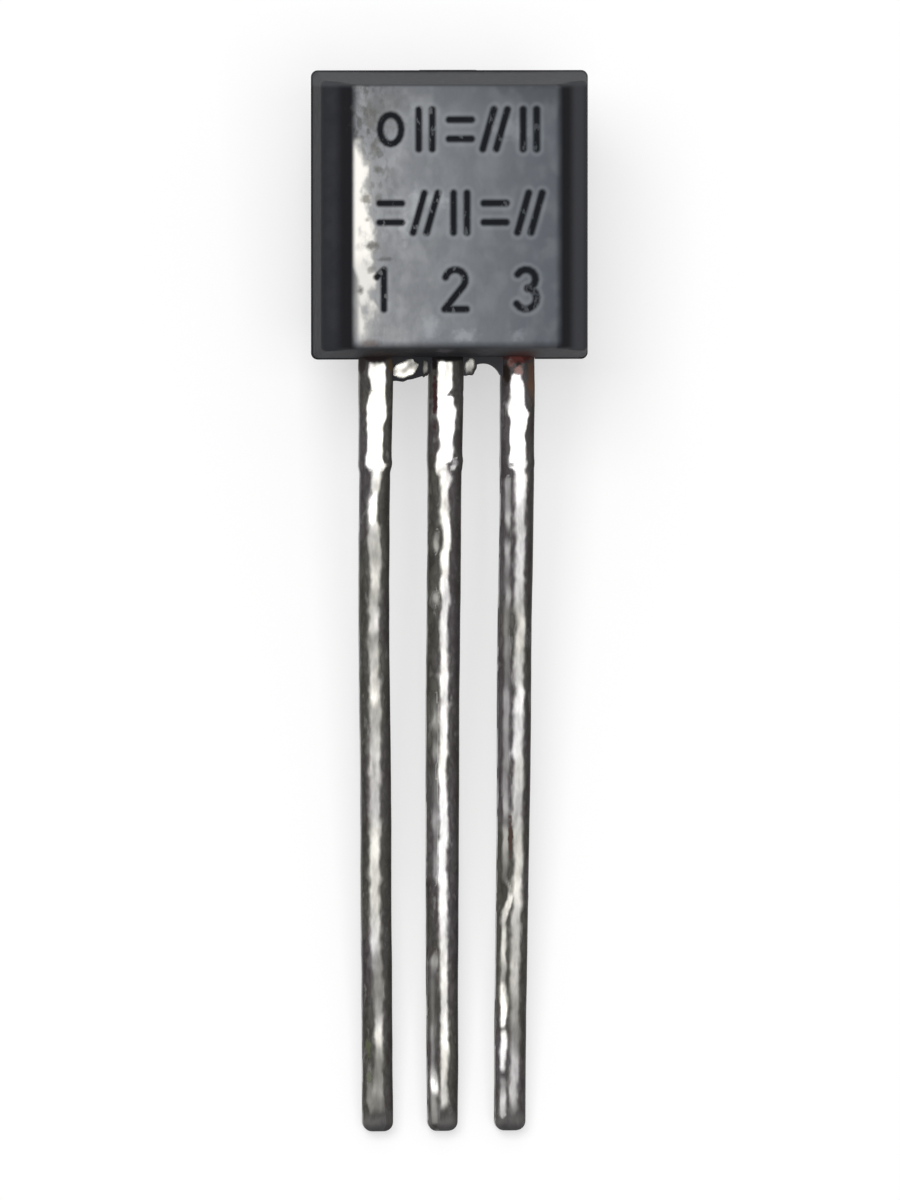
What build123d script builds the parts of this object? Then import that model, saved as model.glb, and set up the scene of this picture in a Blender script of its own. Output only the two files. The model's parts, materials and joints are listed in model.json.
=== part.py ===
from build123d import *

import os
from math import asin, atan2, cos, degrees, hypot, radians, sin, tan

# A three-lead voltage regulator in a half-round moulded package, loose, as it comes to rest: on the rim
# of its round back and on the tips of its leads, with the flat face up.
#
# Every piece is drawn in the package frame and laid down at the end. In the package frame the stamped
# lead frame lies in the XY plane: X runs across the leads, Y along the package from the lead exit (0) to
# the far end, and Z out through the flat face. All sizes are in millimetres.

# --- moulded package -----------------------------------------------------------------------------
BODY_WIDTH = 4.91
BODY_HEIGHT = 5.11
BACK_RADIUS = BODY_WIDTH / 2
WALL_TOP_WIDTH, WALL_TOP_LEVEL = 4.75, 0.95  # where the side walls end and the shoulders begin
PAD_BASE_WIDTH, PAD_BASE_LEVEL = 4.17, 1.10  # where the shoulders meet the sides of the raised face
FACE_WIDTH, FACE_LEVEL = 3.75, 1.40  # levels are heights above the lead frame's middle plane
FRONT_DRAFT = 9.1  # degrees, both ends of the front mould half
BACK_DRAFT = 5.0  # degrees, both ends of the back mould half
CORNER_RADIUS = 0.10
FACE_EDGE_RADIUS = 0.04

FLASH_PROUD = 0.02  # thin fin squeezed out between the mould halves
FLASH_THICKNESS = 0.04
GATE_WIDTH, GATE_DEPTH, GATE_LEVEL = 1.00, 0.32, -0.30
GATE_REACH, GATE_EDGE_RADIUS = 0.10, 0.05
MOULD_OFFSET = 0.05  # the package sits this far to the input side of the middle lead
EJECTOR_DIAMETER, EJECTOR_DEPTH = 1.50, 0.18

# --- leads outside the package -------------------------------------------------------------------
LEAD_PITCH = 1.27
LEAD_LENGTH = 13.80
LEAD_THICKNESS = 0.42
LEG_WIDTHS = {1: (0.56, 0.55), 2: (0.60, 0.555), 3: (0.595, 0.55)}  # below the taper, at the tip
LEAD_EDGE_RADIUS = 0.13
TIP_CORNER_RADIUS = 0.17
SHOULDER_WIDTH = 0.62  # wider stretch between the package and the cut tie bar
SHOULDER_LENGTH = 1.95
SHOULDER_TAPER = 0.20
TAPER_BLEND = 0.25
TIE_STUB_WIDTH, TIE_STUB_LENGTH, TIE_STUB_THICKNESS = 0.67, 0.24, 0.34
TIE_STUB_EDGE_RADIUS = 0.06
TIE_STUB_Y = -1.80
TIP_DRIFT = {1: 0.02, 2: -0.09, 3: -0.135}  # sideways lean of each tip, as handled

# --- lead frame inside the package ---------------------------------------------------------------
FRAME_THICKNESS = 0.38
NECK_WIDTH = 0.50
LEAD_ROOT = 0.30  # how far the rounded, dipped part of a lead reaches into the package
POST_BOTTOM, POST_TOP = 1.30, 2.70
POST_IN, POST_OUT = 0.19, 0.45  # bond post, from the lead's own centre line
FLAG_BOTTOM, FLAG_TOP, FLAG_WIDTH = 1.80, 3.75, 1.70
STAMPED_CORNER = 0.08

# --- die and its connections ---------------------------------------------------------------------
DIE_WIDTH, DIE_LENGTH, DIE_THICKNESS = 1.15, 1.25, 0.25
DIE_CENTRE_Y = 2.68
ATTACH_THICKNESS, ATTACH_MARGIN = 0.025, 0.05
WIRE_RADIUS = 0.019
BALL_RADIUS, BALL_HEIGHT = 0.050, 0.040
STITCH_RADIUS, STITCH_HEIGHT = 0.055, 0.030
LOOP_RISE, LOOP_KNEE = 0.17, 0.60  # knee: share of the span where the wire starts to come down
SIDE_PAD_X, SIDE_PAD_Y = 0.40, 2.45
SIDE_STITCH_X, SIDE_STITCH_Y = 1.36, 2.32
GROUND_PAD_Y, GROUND_STITCH_Y = 2.22, 1.90

# --- resin squeezed between the leads at the package's foot -----------------------------------------
WEB_THICKNESS = 0.34
WEB_ROOT = 0.15  # how far each web starts inside the package
TONGUE_EDGE = (-0.40, -0.37, -0.25)  # lower edge beside lead 1, in the gap's middle, beside lead 2
ARCH_SPRING, ARCH_TOP = -0.31, -0.095  # lower edge beside leads 2 and 3, and at its highest

FRAME_TOP = FRAME_THICKNESS / 2
DIE_FOOT = FRAME_TOP + ATTACH_THICKNESS
DIE_TOP = DIE_FOOT + DIE_THICKNESS
LEAD_X = {1: -LEAD_PITCH, 2: 0.0, 3: LEAD_PITCH}
NAMES = {1: "lead_1_output", 2: "lead_2_ground", 3: "lead_3_input"}


def end_set_back(level, draft):
    """How far an end of the package has drawn in at a height above or below the parting plane."""
    return abs(level) * tan(radians(draft))


# --- package body -----------------------------------------------------------------------------------


def front_section(level, width):
    """Rounded rectangle of the front mould half at one level."""
    height = BODY_HEIGHT - 2 * end_set_back(level, FRONT_DRAFT)
    outline = RectangleRounded(width, height, CORNER_RADIUS)
    return Pos(0, BODY_HEIGHT / 2, level) * outline


def front_half():
    """Side walls, then sloping shoulders, then the raised face with its own steeper sides."""
    foot = front_section(0, BODY_WIDTH)
    wall_top = front_section(WALL_TOP_LEVEL, WALL_TOP_WIDTH)
    pad_base = front_section(PAD_BASE_LEVEL, PAD_BASE_WIDTH)
    face = front_section(FACE_LEVEL, FACE_WIDTH)
    pad = loft([pad_base, face], ruled=True)
    rim = pad.faces().sort_by(Axis.Z)[-1].edges()
    return loft([foot, wall_top, pad_base], ruled=True) + fillet(rim, FACE_EDGE_RADIUS)


def back_half():
    """Half cylinder whose ends draw in towards its crest, with a shallow ejector-pin recess there."""
    crest = -BACK_RADIUS
    inset = end_set_back(crest, BACK_DRAFT)
    round_back = extrude(Plane.XZ * Circle(BACK_RADIUS), amount=-BODY_HEIGHT)
    side_view = Plane.YZ * Polygon(
        (0, 0), (BODY_HEIGHT, 0), (BODY_HEIGHT - inset, crest), (inset, crest), align=None
    )
    half = round_back & extrude(side_view, amount=BODY_WIDTH, both=True)
    rims = half.edges().filter_by(lambda edge: edge.geom_type != GeomType.LINE)
    half = fillet(rims, CORNER_RADIUS)
    pin = Pos(0, BODY_HEIGHT / 2, crest) * Cylinder(EJECTOR_DIAMETER / 2, 2 * EJECTOR_DEPTH)
    return half - pin


def parting_fin():
    """Thin fin round the package where the two mould halves met."""
    outline = RectangleRounded(
        BODY_WIDTH + 2 * FLASH_PROUD, BODY_HEIGHT + 2 * FLASH_PROUD, CORNER_RADIUS + FLASH_PROUD
    )
    return extrude(Pos(0, BODY_HEIGHT / 2) * outline, amount=FLASH_THICKNESS / 2, both=True)


def gate_scar():
    """Stub of resin where the runner was broken off the far end, level with the fin."""
    stub = Box(GATE_WIDTH, GATE_REACH, GATE_DEPTH)
    stub = fillet(stub.edges().filter_by(Axis.Y), GATE_EDGE_RADIUS)
    return Pos(0, BODY_HEIGHT + FLASH_PROUD - GATE_REACH / 2, GATE_LEVEL) * stub


def resin_web(left_lead, at_left, in_middle, at_right):
    """Resin that filled the gap between two leads, down to a curved lower edge."""
    middle = LEAD_X[left_lead] + LEAD_PITCH / 2
    half_gap = (LEAD_PITCH - SHOULDER_WIDTH) / 2
    left, right = middle - half_gap, middle + half_gap
    edge = ThreePointArc((left, at_left), (middle, in_middle), (right, at_right))
    under_right_lead = (LEAD_X[left_lead + 1], at_right)
    under_left_lead = (LEAD_X[left_lead], at_left)
    rest = Polyline(
        (right, at_right),
        under_right_lead,
        (LEAD_X[left_lead + 1], WEB_ROOT),
        (LEAD_X[left_lead], WEB_ROOT),
        under_left_lead,
        (left, at_left),
    )
    return extrude(make_face(edge + rest), amount=WEB_THICKNESS / 2, both=True)


def package_body(contents):
    """The moulded body in one piece, closed tightly round everything that it was moulded over."""
    body = Pos(MOULD_OFFSET, 0) * (front_half() + back_half() + parting_fin() + gate_scar())
    body += resin_web(1, *TONGUE_EDGE)
    body += resin_web(2, ARCH_SPRING, ARCH_TOP, ARCH_SPRING)
    for piece in contents:
        body -= piece
    return body


# --- leads ------------------------------------------------------------------------------------------


def outer_lead(number):
    """The dipped lead from just inside the package to its rounded tip, with its cut tie-bar stubs."""
    drift = TIP_DRIFT[number]
    half_shoulder = SHOULDER_WIDTH / 2
    half_leg, half_tip = (width / 2 for width in LEG_WIDTHS[number])
    leg_top = -SHOULDER_LENGTH - SHOULDER_TAPER
    root = [(half_shoulder, LEAD_ROOT), (-half_shoulder, LEAD_ROOT)]
    bends = [(-half_shoulder, -SHOULDER_LENGTH), (-half_leg, leg_top)]
    tip = [(drift - half_tip, -LEAD_LENGTH), (drift + half_tip, -LEAD_LENGTH)]
    bends_back = [(half_leg, leg_top), (half_shoulder, -SHOULDER_LENGTH)]
    outline = make_face(Polyline(root + bends + tip + bends_back, close=True))
    outline = fillet(outline.vertices().sort_by(Axis.Y)[:2], TIP_CORNER_RADIUS)
    bent = outline.vertices().filter_by_position(Axis.Y, leg_top - 0.01, -SHOULDER_LENGTH + 0.01)
    outline = fillet(bent, TAPER_BLEND)
    lead = extrude(outline, amount=LEAD_THICKNESS / 2, both=True)
    rims = lead.faces().filter_by(Axis.Z).edges()
    lead = fillet(rims.filter_by_position(Axis.Y, -2 * LEAD_LENGTH, LEAD_ROOT - 0.01), LEAD_EDGE_RADIUS)
    stub = Box(TIE_STUB_WIDTH, TIE_STUB_LENGTH, TIE_STUB_THICKNESS)
    stub = fillet(stub.edges().filter_by(Axis.Y), TIE_STUB_EDGE_RADIUS)
    return lead + Pos(0, TIE_STUB_Y) * stub


def stamped(outline, inner_corners=True):
    """A piece of lead frame, stamped from strip of one thickness."""
    sheet = make_face(outline)
    if inner_corners:
        sheet = fillet(sheet.vertices(), STAMPED_CORNER)
    return extrude(sheet, amount=FRAME_THICKNESS / 2, both=True)


def side_lead(number):
    """Output or input lead: a neck, then a bond post that steps outwards and locks into the resin."""
    outward = 1 if number == 3 else -1
    half_neck = NECK_WIDTH / 2
    corners = [
        (-half_neck, LEAD_ROOT / 2),
        (half_neck, LEAD_ROOT / 2),
        (half_neck, POST_BOTTOM),
        (POST_OUT, POST_BOTTOM),
        (POST_OUT, POST_TOP),
        (-POST_IN, POST_TOP),
        (-POST_IN, POST_BOTTOM),
        (-half_neck, POST_BOTTOM - 2 * STAMPED_CORNER),
    ]
    outline = Polyline([(outward * x, y) for x, y in corners], close=True)
    whole = outer_lead(number) + stamped(outline)
    return Pos(LEAD_X[number], 0) * whole


def ground_lead():
    """Middle lead: its neck widens into the flag that carries the die."""
    half_neck = NECK_WIDTH / 2
    half_flag = FLAG_WIDTH / 2
    corners = [
        (-half_neck, LEAD_ROOT / 2),
        (half_neck, LEAD_ROOT / 2),
        (half_neck, FLAG_BOTTOM),
        (half_flag, FLAG_BOTTOM),
        (half_flag, FLAG_TOP),
        (-half_flag, FLAG_TOP),
        (-half_flag, FLAG_BOTTOM),
        (-half_neck, FLAG_BOTTOM),
    ]
    return outer_lead(2) + stamped(Polyline(corners, close=True))


# --- die, attach layer and bond wires ------------------------------------------------------------------


def regulator_die():
    centre = Pos(0, DIE_CENTRE_Y, DIE_FOOT + DIE_THICKNESS / 2)
    return centre * Box(DIE_WIDTH, DIE_LENGTH, DIE_THICKNESS)


def die_attach_layer():
    """Film of silver-filled resin that bonds the die to the flag."""
    centre = Pos(0, DIE_CENTRE_Y, FRAME_TOP + ATTACH_THICKNESS / 2)
    grow = 2 * ATTACH_MARGIN
    return centre * Box(DIE_WIDTH + grow, DIE_LENGTH + grow, ATTACH_THICKNESS)


def bond_wire(pad, stitch):
    """Gold wire from a ball on the die, up to a kink, over a low loop and down to a stitch."""
    pad_x, pad_y = pad
    stitch_x, stitch_y = stitch
    span = hypot(stitch_x - pad_x, stitch_y - pad_y)
    top = DIE_TOP + LOOP_RISE
    knee_x = pad_x + LOOP_KNEE * (stitch_x - pad_x)
    knee_y = pad_y + LOOP_KNEE * (stitch_y - pad_y)
    route = Polyline(
        (pad_x, pad_y, DIE_TOP + BALL_HEIGHT / 2),
        (pad_x, pad_y, top),
        (knee_x, knee_y, top - 0.1 * span),
        (stitch_x, stitch_y, FRAME_TOP + 0.75 * STITCH_HEIGHT),
    )
    section = Pos(pad_x, pad_y, DIE_TOP + BALL_HEIGHT / 2) * Circle(WIRE_RADIUS)
    wire = sweep(section, path=route, transition=Transition.RIGHT)
    ball = Pos(pad_x, pad_y, DIE_TOP + BALL_HEIGHT / 2) * Cylinder(BALL_RADIUS, BALL_HEIGHT)
    foot = Pos(stitch_x, stitch_y, FRAME_TOP + STITCH_HEIGHT / 2)
    return wire + ball + foot * Cylinder(STITCH_RADIUS, STITCH_HEIGHT)


# --- rest position --------------------------------------------------------------------------------------


def rest_tilt():
    """Angle, in degrees, between the package frame and the floor, with back rim and tips both touching.

    Both touch with a rounding. Each rounding is a circle in the YZ plane, and the floor is the line
    that touches both from below.
    """
    draft = radians(BACK_DRAFT)
    rim_z = -BACK_RADIUS + CORNER_RADIUS
    rim_y = (CORNER_RADIUS - rim_z * sin(draft)) / cos(draft)
    tip_y = -LEAD_LENGTH + LEAD_EDGE_RADIUS
    tip_z = -LEAD_THICKNESS / 2 + LEAD_EDGE_RADIUS
    apart = hypot(rim_y - tip_y, rim_z - tip_z)
    slope = atan2(rim_z - tip_z, rim_y - tip_y)
    return degrees(asin((CORNER_RADIUS - LEAD_EDGE_RADIUS) / apart) - slope)


def lay_down(pieces):
    """Location that lays the assembly on the floor, centred over the origin."""
    turned = Rot(rest_tilt(), 0, 0)
    box = (turned * Compound(list(pieces.values()))).bounding_box()
    return Pos(-box.center().X, -box.center().Y, -box.min.Z) * turned


def build():
    leads = {
        NAMES[1]: side_lead(1),
        NAMES[2]: ground_lead(),
        NAMES[3]: side_lead(3),
    }
    inside = {
        "regulator_die": regulator_die(),
        "die_attach_layer": die_attach_layer(),
        "bond_wire_output": bond_wire((-SIDE_PAD_X, SIDE_PAD_Y), (-SIDE_STITCH_X, SIDE_STITCH_Y)),
        "bond_wire_ground": bond_wire((0, GROUND_PAD_Y), (0, GROUND_STITCH_Y)),
        "bond_wire_input": bond_wire((SIDE_PAD_X, SIDE_PAD_Y), (SIDE_STITCH_X, SIDE_STITCH_Y)),
    }
    pieces = {**leads, **inside}
    pieces["package_body"] = package_body(list(pieces.values()))
    return pieces


PIECES = build()
REST = lay_down(PIECES)
os.makedirs("parts", exist_ok=True)
for name, piece in PIECES.items():
    export_step(REST * piece, f"parts/{name}.step")
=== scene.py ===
import json
import math

import bmesh
import bpy
import numpy as np
from mathutils import Matrix, Vector, noise


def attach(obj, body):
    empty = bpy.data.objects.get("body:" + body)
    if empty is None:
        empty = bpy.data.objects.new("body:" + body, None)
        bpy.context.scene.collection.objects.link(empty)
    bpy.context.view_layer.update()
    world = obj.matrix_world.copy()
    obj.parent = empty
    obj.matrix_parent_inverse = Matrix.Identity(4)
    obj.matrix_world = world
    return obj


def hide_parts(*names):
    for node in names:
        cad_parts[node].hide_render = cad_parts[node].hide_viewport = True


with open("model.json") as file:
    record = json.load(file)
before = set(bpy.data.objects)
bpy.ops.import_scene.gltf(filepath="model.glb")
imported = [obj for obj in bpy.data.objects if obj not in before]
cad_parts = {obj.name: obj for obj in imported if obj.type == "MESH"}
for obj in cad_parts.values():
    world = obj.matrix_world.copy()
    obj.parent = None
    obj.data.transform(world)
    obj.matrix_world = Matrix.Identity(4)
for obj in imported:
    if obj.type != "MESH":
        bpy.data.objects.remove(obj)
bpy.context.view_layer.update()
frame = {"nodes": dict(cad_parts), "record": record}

# --- the three leads ---
# Stamped copper-alloy legs, dipped in solder after the tie bar between them was cut. The dip left a
# crowned, lumpy coat: wide and bright beside the package, thinner down the legs, dull at the tips.
#
# The part rests on the rim of its round back and on the tips of its leads. Every piece is made in the
# package's own millimetres: X across the leads, Y from the lead exit to the far end, and Z out through
# the flat face, with zero at the middle lead where it leaves the resin.
MM = 0.001
SHOULDER_TO_EXIT = 2.15  # from the board-lead mount up to where the leads leave the resin
mounts = {mount["name"]: mount for mount in frame["record"]["mounts"]}
face_normal = Vector(mounts["marking_face"]["axis"])
towards_tips = Vector(mounts["board_leads"]["axis"])
lead_exit = Vector(mounts["board_leads"]["pos_m"]) - towards_tips * SHOULDER_TO_EXIT * MM
package_axes = (Vector((1, 0, 0)), -towards_tips, face_normal)
lay = Matrix(package_axes).transposed().to_4x4()
lay.translation = lead_exit
package_middle = (Vector(mounts["marking_face"]["pos_m"]) - lead_exit).x / MM


def add_object(name, data):
    """Puts a mesh, a lamp or a camera into the scene."""
    thing = bpy.data.objects.new(name, data)
    bpy.context.scene.collection.objects.link(thing)
    return thing


def add_piece(name, shape, surface):
    """Lays a shape down where the part lies and makes it a piece of it."""
    shape.transform(lay @ Matrix.Scale(MM, 4))
    data = bpy.data.meshes.new(name)
    shape.to_mesh(data)
    shape.free()
    data.materials.append(surface)
    piece = add_object(name, data)
    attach(piece, "root")
    return piece


LEAD_PITCH = 1.27
LEAD_LENGTH = 13.80
LEAD_ROOT = 0.30  # how far the dipped skin runs on inside the package
ROOT_OVERLAP = 0.02
LEAD_HALF_THICKNESS = 0.21
TIE_BAR_AT = 1.86
TIP_ROUNDING = 0.17
TIP_THINNING = 0.13  # how much thinner the very end is, each side
TIE_BAR_SWELL = 0.004  # extra solder over the cut tie bar
BEAD_HEIGHT = 0.0035
BEAD_SLOPE = 0.11  # at the bead's edges
DROP_SINK = 0.02  # lets a drop's rim into the resin under it
RINGS_PER_MM, TIP_RINGS, RING_POINTS = 22, 9, 88
MIRROR_SLOPE = 0.175  # a crown flatter than this, against its height, throws the light straight back
CROWN_SPREAD = 0.24  # how far the crown's flat runs out past the bright solder on it
WIDEST_CROWN = 0.72

# Each lead is set down as lists of values by distance from the package, in millimetres:
#   middle      sideways drift of the lead's middle line
#   half_width  half its width
#   crown       place and half width of the bright crown, and its shine, in hundredths of the half
#               width and of the brightest; the shine also paints how bright the highlight is there
#   bead        the same for the thin second run of solder beside it
#   dents       distance, place, length, width and depth of the dips between solder drops
#   drops       solder that ran off on to the resin: middle, reach, lean and height of each smear, and
#               its shine, which also paints the highlight on it
# The row counts leads from the middle one, the seed gives each its own lumps, and the stub is what the
# cut tie bar left standing, mostly on the right.
OUTPUT_LEAD = dict(
    row=-1,
    seed=3.1,
    stub=0.012,
    middle=[(0, 0), (4.2, -0.035), (8.5, 0), (13.8, 0.03)],
    half_width=[(0, 0.307), (1.7, 0.291), (1.9, 0.292), (2.08, 0.272), (13.8, 0.272)],
    crown=[
        (0.03, 0, 34, 0), (0.12, 2, 49, 50), (0.3, 2, 51, 56), (0.52, 9, 44, 56), (0.75, 2, 54, 56),
        (1, 0, 63, 56), (1.25, -8, 49, 56), (1.6, -8, 45, 56), (1.78, -12, 49, 56), (1.9, 2, 63, 50),
        (2.02, 5, 36, 42), (2.28, -2, 34, 29), (2.5, -17, 31, 44), (2.85, -18, 29, 56), (3, -10, 36, 36),
        (3.2, -8, 43, 28), (3.6, 3, 40, 24), (3.9, 5, 34, 34), (4.3, -4, 34, 22), (4.75, -11, 32, 33),
        (5, -14, 36, 17), (5.3, -6, 31, 28), (6, -1, 34, 36), (6.25, -4, 38, 21), (7.3, -13, 38, 33),
        (7.8, -11, 38, 27), (8.75, -14, 34, 37), (9.1, -14, 35, 32), (10.5, -13, 35, 31), (10.8, -4, 35, 19),
        (11.25, 7, 34, 14), (11.6, 7, 31, 19), (12.05, 5, 28, 35), (12.35, 4, 28, 20), (12.75, 0, 28, 13),
        (13.05, -8, 40, 17), (13.3, -15, 55, 11), (13.55, 0, 50, 3),
    ],
    bead=[(12.4, -60, 0, 0), (12.75, -60, 16, 12), (13.25, -60, 20, 12), (13.5, -60, 0, 0)],
    dents=[
        (0.57, -0.52, 0.06, 0.25, 0.02), (1.88, -0.02, 0.035, 0.22, 0.012), (2.03, -0.5, 0.08, 0.4, 0.016),
        (2.02, 0.65, 0.06, 0.4, 0.012), (2.4, -0.45, 0.07, 0.22, 0.012), (4.99, 0, 0.022, 0.6, 0.005),
    ],
    drops=[
        ((0.5, -0.2, 0.165), (0.31, 0.22), 0.34, 0.035, 0.4),
        ((0.87, -0.15, 0.165), (0.09, 0.18), 0.1, 0.032, 0.1),
    ],
)
GROUND_LEAD = dict(
    row=0,
    seed=17.4,
    stub=0.01,
    middle=[(0, -0.012), (2.1, -0.04), (7, -0.077), (11, -0.083), (13.8, -0.075)],
    half_width=[(0, 0.312), (1.7, 0.311), (2.1, 0.3), (7, 0.298), (12.5, 0.283), (13.8, 0.27)],
    crown=[
        (0.04, -15, 30, 0), (0.11, -12, 43, 50), (0.45, -8, 44, 56), (0.56, -12, 43, 56),
        (0.63, -28, 29, 56), (0.72, -5, 49, 56), (1, 2, 56, 56), (1.2, 1, 45, 56), (1.6, 1, 39, 56),
        (1.76, -8, 47, 56), (1.9, -22, 37, 53), (2, -20, 40, 36), (2.12, 0, 35, 44), (2.4, -3, 26, 46),
        (2.6, -6, 24, 39), (2.9, -4, 28, 46), (3.2, 10, 27, 35), (3.38, 8, 25, 35), (3.52, -4, 28, 45),
        (3.75, 0, 23, 35), (3.95, -5, 26, 44), (4.25, 5, 25, 37), (4.75, -6, 24, 36), (5, -8, 23, 35),
        (5.3, 1, 25, 40), (6, 2, 26, 44), (7, 0, 25, 40), (7.3, -7, 24, 42), (8.25, 2, 28, 42),
        (9, -7, 29, 48), (9.75, 1, 28, 45), (10.6, 2, 26, 40), (10.8, 3, 24, 38), (11, 5, 26, 45),
        (11.5, 6, 23, 38), (12.1, 6, 24, 45), (12.5, 6, 25, 35), (13.2, 2, 26, 32), (13.45, 0, 30, 3),
    ],
    bead=[
        (1.7, 55, 0, 0), (1.86, 55, 20, 24), (1.94, 45, 22, 30), (2.02, 40, 0, 0), (3, -50, 0, 0),
        (3.15, -50, 16, 12), (3.38, -54, 18, 22), (3.55, -54, 0, 0), (4.05, -50, 0, 0), (4.25, -50, 19, 17),
        (4.5, -50, 0, 0), (5.8, -48, 0, 0), (6.2, -48, 17, 8), (6.5, -46, 20, 17), (6.75, -50, 17, 7),
        (7, -46, 20, 18), (7.25, -46, 16, 6), (7.9, -45, 18, 11), (8.25, -50, 20, 18), (8.6, -45, 17, 10),
        (9.2, -48, 17, 13), (9.5, -48, 0, 0), (10.45, -52, 0, 0), (10.75, -52, 26, 22), (11, -62, 18, 10),
        (11.8, -62, 17, 10), (12, -64, 18, 18), (12.5, -64, 17, 15), (12.75, -60, 22, 30), (13, -62, 23, 62),
        (13.2, -62, 21, 18), (13.55, -60, 24, 13),
    ],
    dents=[
        (0.62, 0.4, 0.035, 0.4, 0.014), (1.93, 0.3, 0.045, 0.4, 0.012), (2.4, 0.45, 0.16, 0.22, 0.01),
        (10.7, -0.22, 0.1, 0.12, 0.004),
    ],
    drops=[((0.39, -0.13, 0.165), (0.14, 0.19), 0.15, 0.035, 0.24)],
)
INPUT_LEAD = dict(
    row=1,
    seed=29.8,
    stub=0.006,
    middle=[(0, -0.005), (1.8, -0.012), (6, -0.063), (13.8, -0.14)],
    half_width=[(0, 0.306), (1.7, 0.301), (6, 0.303), (9, 0.287), (13.8, 0.277)],
    crown=[
        (0.14, 2, 20, 0), (0.25, 2, 20, 35), (0.34, -10, 31, 56), (0.5, -7, 43, 56), (0.68, -6, 41, 56),
        (0.88, -8, 51, 56), (1, 3, 63, 56), (1.12, 4, 49, 56), (1.35, -3, 47, 56), (1.62, -3, 44, 56),
        (1.78, -5, 53, 56), (1.9, -4, 57, 50), (2, 12, 37, 48), (2.14, 15, 38, 44), (2.45, 13, 32, 41),
        (2.7, 13, 30, 35), (3.3, 21, 30, 32), (3.62, 18, 29, 29), (4.2, 17, 31, 28), (4.5, 21, 31, 23),
        (4.75, 34, 23, 28), (5, 25, 30, 28), (5.75, 16, 31, 28), (6, 31, 27, 42), (6.25, 20, 33, 44),
        (6.5, 24, 32, 30), (7, 15, 32, 33), (7.25, 24, 32, 28), (8.25, 17, 33, 30), (8.5, 23, 33, 29),
        (9, 32, 28, 29), (9.5, 23, 32, 32), (9.75, 31, 30, 32), (10, 17, 30, 29), (10.75, 17, 28, 29),
        (11.25, 15, 30, 25), (11.5, 21, 28, 17), (12.2, 24, 30, 16), (12.6, 25, 29, 25), (13.1, 15, 30, 23),
        (13.5, 18, 25, 7),
    ],
    bead=[
        (2.02, -62, 0, 0), (2.2, -60, 18, 19), (2.62, -58, 17, 14), (2.85, -56, 18, 22), (3.12, -56, 15, 5),
        (3.38, -56, 18, 22), (3.95, -56, 17, 9), (4.25, -44, 21, 20), (4.5, -56, 17, 10), (5.2, -51, 18, 13),
        (5.8, -51, 17, 10), (6, -53, 19, 19), (6.75, -53, 18, 12), (7.7, -56, 18, 19), (8, -56, 19, 24),
        (8.25, -56, 16, 10), (8.5, -54, 19, 23), (9.25, -54, 17, 10), (9.5, -20, 14, 20), (9.6, -16, 20, 42),
        (9.75, -34, 22, 44), (9.9, -50, 19, 38), (10.1, -56, 17, 30), (10.6, -56, 18, 34),
        (10.9, -50, 20, 24), (11.12, -56, 20, 20), (11.22, -54, 24, 50), (11.6, -50, 23, 55),
        (11.88, -50, 20, 45), (11.97, -50, 16, 10), (12.06, -48, 22, 37), (12.3, -50, 23, 48),
        (12.66, -54, 20, 40), (12.78, -54, 14, 4), (12.92, -50, 18, 21), (13.25, -50, 22, 33),
        (13.55, -52, 22, 23), (13.62, -52, 0, 0),
    ],
    dents=[
        (0.93, 0.62, 0.05, 0.25, 0.012), (1.96, -0.45, 0.08, 0.4, 0.02), (1.76, 0.4, 0.05, 0.2, 0.006),
        (4.72, 0.05, 0.14, 0.2, 0.012), (9.62, -0.3, 0.12, 0.2, 0.006), (11.96, -0.5, 0.022, 0.25, 0.005),
        (12.8, -0.5, 0.03, 0.3, 0.008),
    ],
    drops=[],
)
LEADS = {
    "lead_1_output": OUTPUT_LEAD,
    "lead_2_ground": GROUND_LEAD,
    "lead_3_input": INPUT_LEAD,
}


def smooth_step(value, start, end):
    """0 before start, 1 after end, and an easy slope between them."""
    share = min(max((value - start) / (end - start), 0.0), 1.0)
    return share * share * (3 - 2 * share)


def bell(value, centre, width):
    """A bump of height 1 at centre."""
    return math.exp(-(((value - centre) / width) ** 2))


def keyed(rows, along):
    """The values listed for a distance, each passing easily from one row to the next."""
    for before, after in zip(rows, rows[1:]):
        if along <= after[0]:
            share = smooth_step(along, before[0], after[0])
            return [first + (last - first) * share for first, last in zip(before[1:], after[1:])]
    return list(rows[-1][1:])


def run_at(rows, along):
    """Place, half width and shine of a run of solder at a distance, as shares."""
    return [hundredths / 100 for hundredths in keyed(rows, along)]


def lumps(x, y, z):
    """Unevenness at a place, from about -0.7 to 0.7 and the same each time."""
    return noise.noise(Vector((x, y, z)))


def solder_relief(seed, x, z, along):
    """How far the solder stands off its mean surface, in millimetres."""
    swell = lumps(x * 2.2, z * 2.2 + seed, along * 1.1)
    streak = lumps(x * 6.0 + seed, z * 5.0, along * 1.9)
    dimple = lumps(x * 11.0, z * 9.0, along * 6.0 + seed)
    return 0.007 * swell + 0.0040 * streak + 0.0012 * dimple


def crown_power(half):
    """Squareness of a section whose crown is flat enough to shine over this share of its width."""
    return 1 + math.log(MIRROR_SLOPE) / math.log(half)


def tip_share(along):
    """How much of the section is left as the dipped end rounds off."""
    into_tip = max(0.0, along - (LEAD_LENGTH - TIP_ROUNDING)) / TIP_ROUNDING
    return math.sqrt(max(0.0, 1 - into_tip**2))


def solder_stripe(u, place, half):
    """How much of a run of solder a point has: a soft hump, squarer where the run is wide."""
    squareness = 2.3 + 3.7 * smooth_step(half, 0.36, 0.46)
    return math.exp(-((abs(u - place) / max(half, 0.01)) ** squareness))


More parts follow.
